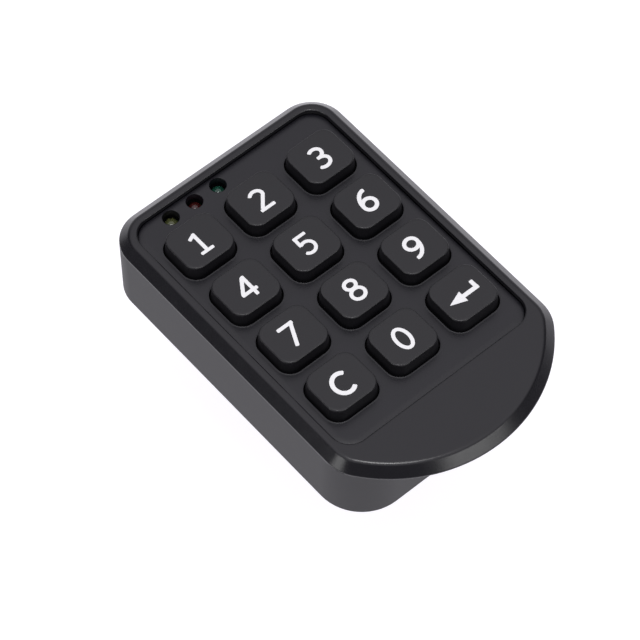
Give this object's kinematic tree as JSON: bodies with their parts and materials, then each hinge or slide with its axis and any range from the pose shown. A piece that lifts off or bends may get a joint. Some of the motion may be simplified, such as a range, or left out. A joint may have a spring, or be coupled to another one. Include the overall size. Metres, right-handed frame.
{
  "type": "electronic cabinet lock",
  "caption": "Keypad cam lock for a cabinet door: a flat case with square push keys, indicator lamps and a finger-pull lip, and a motor-driven cam behind the door.",
  "frame": {"origin": "centre of the case's back face, where it lies on the door", "axes": "+Z out of the door towards the user, +Y up the door towards the lamps, +X to the right of the keypad"},
  "size_m": [0.0568, 0.1032, 0.0463],
  "materials": {
    "case_shell": "charcoal moulding, satin on the sides and the chamfer",
    "panel": "charcoal moulding with a fine matt grain",
    "keycap": "charcoal moulding, matt top and smoother near-black sides",
    "key_print": "white printed figures",
    "silicone": "soft grey silicone",
    "board": "green solder mask on fibreglass",
    "lamp_yellow": "clear tinted epoxy, unlit",
    "lamp_red": "clear tinted epoxy, unlit",
    "lamp_green": "clear tinted epoxy, unlit",
    "black_moulding": "black moulding",
    "zinc_steel": "bright zinc-plated steel",
    "nickel_brass": "nickel-plated brass",
    "cell_can": "nickel-plated steel can",
    "white_nylon": "natural acetal moulding",
    "motor_can": "drawn steel can"
  },
  "bodies": {
    "case": {"front_housing": "case_shell", "keypad_panel": "panel", "back_cover": "panel", "silicone_mat": "silicone", "main_board": "board", "led_yellow": "lamp_yellow", "led_red": "lamp_red", "led_green": "lamp_green", "controller_chip": "black_moulding", "buzzer": "black_moulding", "position_switch": "black_moulding", "coin_cell_left": "cell_can", "coin_cell_right": "cell_can", "cell_holder": "black_moulding", "contact_link": "zinc_steel", "contact_spring_left": "zinc_steel", "contact_spring_right": "zinc_steel", "drive_motor": "motor_can", "idler_pin": "zinc_steel", "gear_plate": "zinc_steel", "barrel": "nickel_brass", "barrel_nut": "nickel_brass", "lock_washer": "zinc_steel", "cover_screw_1": "zinc_steel", "cover_screw_2": "zinc_steel", "cover_screw_3": "zinc_steel", "cover_screw_4": "zinc_steel"},
    "button_1": {"key_1": "keycap"},
    "button_2": {"key_2": "keycap"},
    "button_3": {"key_3": "keycap"},
    "button_4": {"key_4": "keycap"},
    "button_5": {"key_5": "keycap"},
    "button_6": {"key_6": "keycap"},
    "button_7": {"key_7": "keycap"},
    "button_8": {"key_8": "keycap"},
    "button_9": {"key_9": "keycap"},
    "button_clear": {"key_clear": "keycap"},
    "button_0": {"key_0": "keycap"},
    "button_enter": {"key_enter": "keycap"},
    "latch": {"spindle": "zinc_steel", "spindle_gear": "white_nylon", "cam": "zinc_steel", "cam_washer": "zinc_steel", "cam_screw": "zinc_steel"},
    "idler": {"idler_gear": "white_nylon"},
    "pinion": {"motor_pinion": "zinc_steel"}
  },
  "joints": [
    {"name": "latch_turn", "type": "hinge", "parent": "case", "child": "latch", "pos_m": [0, 0.01595, 0], "axis": [0, 0, -1], "range_deg": [0, 90]},
    {"name": "idler_turn", "type": "hinge", "parent": "case", "child": "idler", "pos_m": [0.0068, 0.02584, 0], "axis": [0, 0, -1], "range_deg": [-270, 0]},
    {"name": "pinion_turn", "type": "hinge", "parent": "case", "child": "pinion", "pos_m": [0.00799, 0.03375, 0], "axis": [0, 0, -1], "range_deg": [0, 810]},
    {"name": "press_1", "type": "slide", "parent": "case", "child": "button_1", "axis": [0, 0, -1], "range_m": [0, 0.001], "stiffness_N_per_m": 600, "springref_m": -0.001, "deforming": ["silicone_mat"]},
    {"name": "press_2", "type": "slide", "parent": "case", "child": "button_2", "axis": [0, 0, -1], "range_m": [0, 0.001], "stiffness_N_per_m": 600, "springref_m": -0.001, "deforming": ["silicone_mat"]},
    {"name": "press_3", "type": "slide", "parent": "case", "child": "button_3", "axis": [0, 0, -1], "range_m": [0, 0.001], "stiffness_N_per_m": 600, "springref_m": -0.001, "deforming": ["silicone_mat"]},
    {"name": "press_4", "type": "slide", "parent": "case", "child": "button_4", "axis": [0, 0, -1], "range_m": [0, 0.001], "stiffness_N_per_m": 600, "springref_m": -0.001, "deforming": ["silicone_mat"]},
    {"name": "press_5", "type": "slide", "parent": "case", "child": "button_5", "axis": [0, 0, -1], "range_m": [0, 0.001], "stiffness_N_per_m": 600, "springref_m": -0.001, "deforming": ["silicone_mat"]},
    {"name": "press_6", "type": "slide", "parent": "case", "child": "button_6", "axis": [0, 0, -1], "range_m": [0, 0.001], "stiffness_N_per_m": 600, "springref_m": -0.001, "deforming": ["silicone_mat"]},
    {"name": "press_7", "type": "slide", "parent": "case", "child": "button_7", "axis": [0, 0, -1], "range_m": [0, 0.001], "stiffness_N_per_m": 600, "springref_m": -0.001, "deforming": ["silicone_mat"]},
    {"name": "press_8", "type": "slide", "parent": "case", "child": "button_8", "axis": [0, 0, -1], "range_m": [0, 0.001], "stiffness_N_per_m": 600, "springref_m": -0.001, "deforming": ["silicone_mat"]},
    {"name": "press_9", "type": "slide", "parent": "case", "child": "button_9", "axis": [0, 0, -1], "range_m": [0, 0.001], "stiffness_N_per_m": 600, "springref_m": -0.001, "deforming": ["silicone_mat"]},
    {"name": "press_clear", "type": "slide", "parent": "case", "child": "button_clear", "axis": [0, 0, -1], "range_m": [0, 0.001], "stiffness_N_per_m": 600, "springref_m": -0.001, "deforming": ["silicone_mat"]},
    {"name": "press_0", "type": "slide", "parent": "case", "child": "button_0", "axis": [0, 0, -1], "range_m": [0, 0.001], "stiffness_N_per_m": 600, "springref_m": -0.001, "deforming": ["silicone_mat"]},
    {"name": "press_enter", "type": "slide", "parent": "case", "child": "button_enter", "axis": [0, 0, -1], "range_m": [0, 0.001], "stiffness_N_per_m": 600, "springref_m": -0.001, "deforming": ["silicone_mat"]}
  ],
  "couplings": [
    {"joint": "idler_turn", "follows": "latch_turn", "ratio": -3},
    {"joint": "pinion_turn", "follows": "latch_turn", "ratio": 9}
  ]
}
